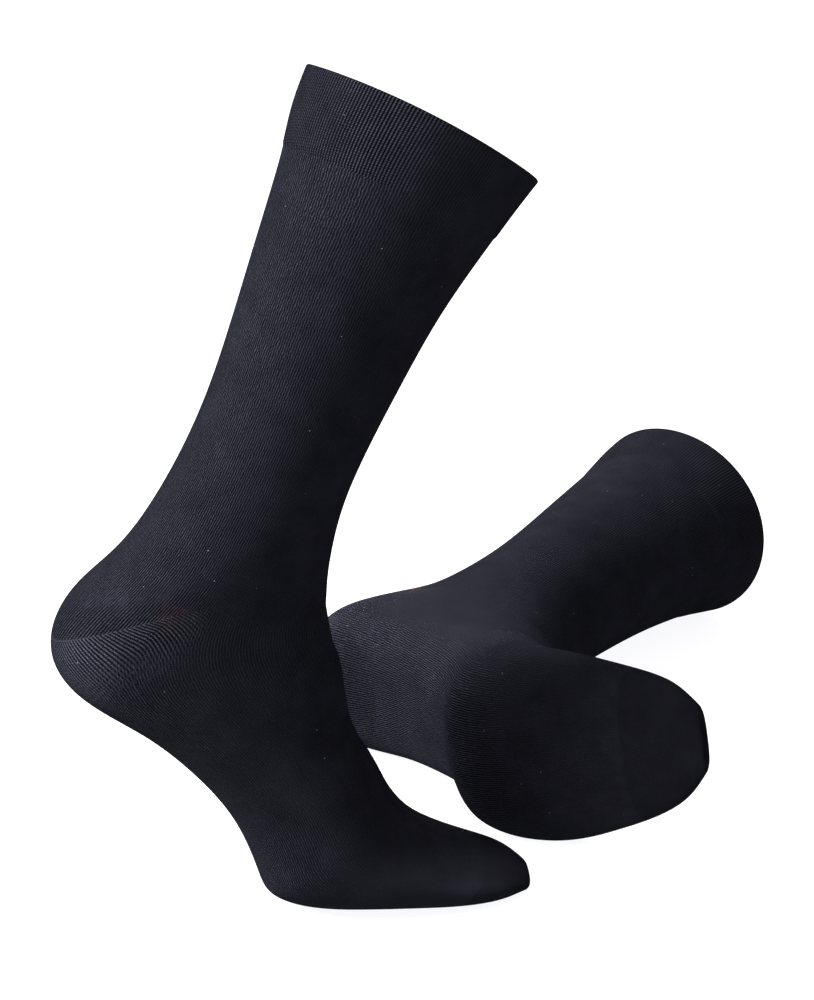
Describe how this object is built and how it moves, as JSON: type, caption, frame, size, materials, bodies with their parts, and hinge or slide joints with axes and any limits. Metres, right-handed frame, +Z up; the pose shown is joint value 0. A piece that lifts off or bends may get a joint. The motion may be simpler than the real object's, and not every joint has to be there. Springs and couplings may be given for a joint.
{
  "type": "pair of socks",
  "caption": "Fine-knit mid-calf dress socks filled out to the form of a foot, hollow and open at the cuff, one standing on its toes and one lying on its side behind it.",
  "frame": {"origin": "centre of the pair's bounding box, on the surface it rests on", "axes": "+X the way the standing sock's toes point, +Y from the standing sock to the lying one, +Z up"},
  "size_m": [0.3733, 0.4933, 0.3989],
  "materials": {
    "rib_knit": "matte double rib knit",
    "plain_knit": "matte fine plain knit with a short nap",
    "dense_knit": "matte denser plain knit"
  },
  "bodies": {
    "root": {"standing_welt": "rib_knit", "standing_leg": "plain_knit", "standing_heel": "dense_knit", "standing_foot": "plain_knit", "standing_toe": "dense_knit", "lying_welt": "rib_knit", "lying_leg": "plain_knit", "lying_heel": "dense_knit", "lying_foot": "plain_knit", "lying_toe": "dense_knit"}
  },
  "joints": []
}
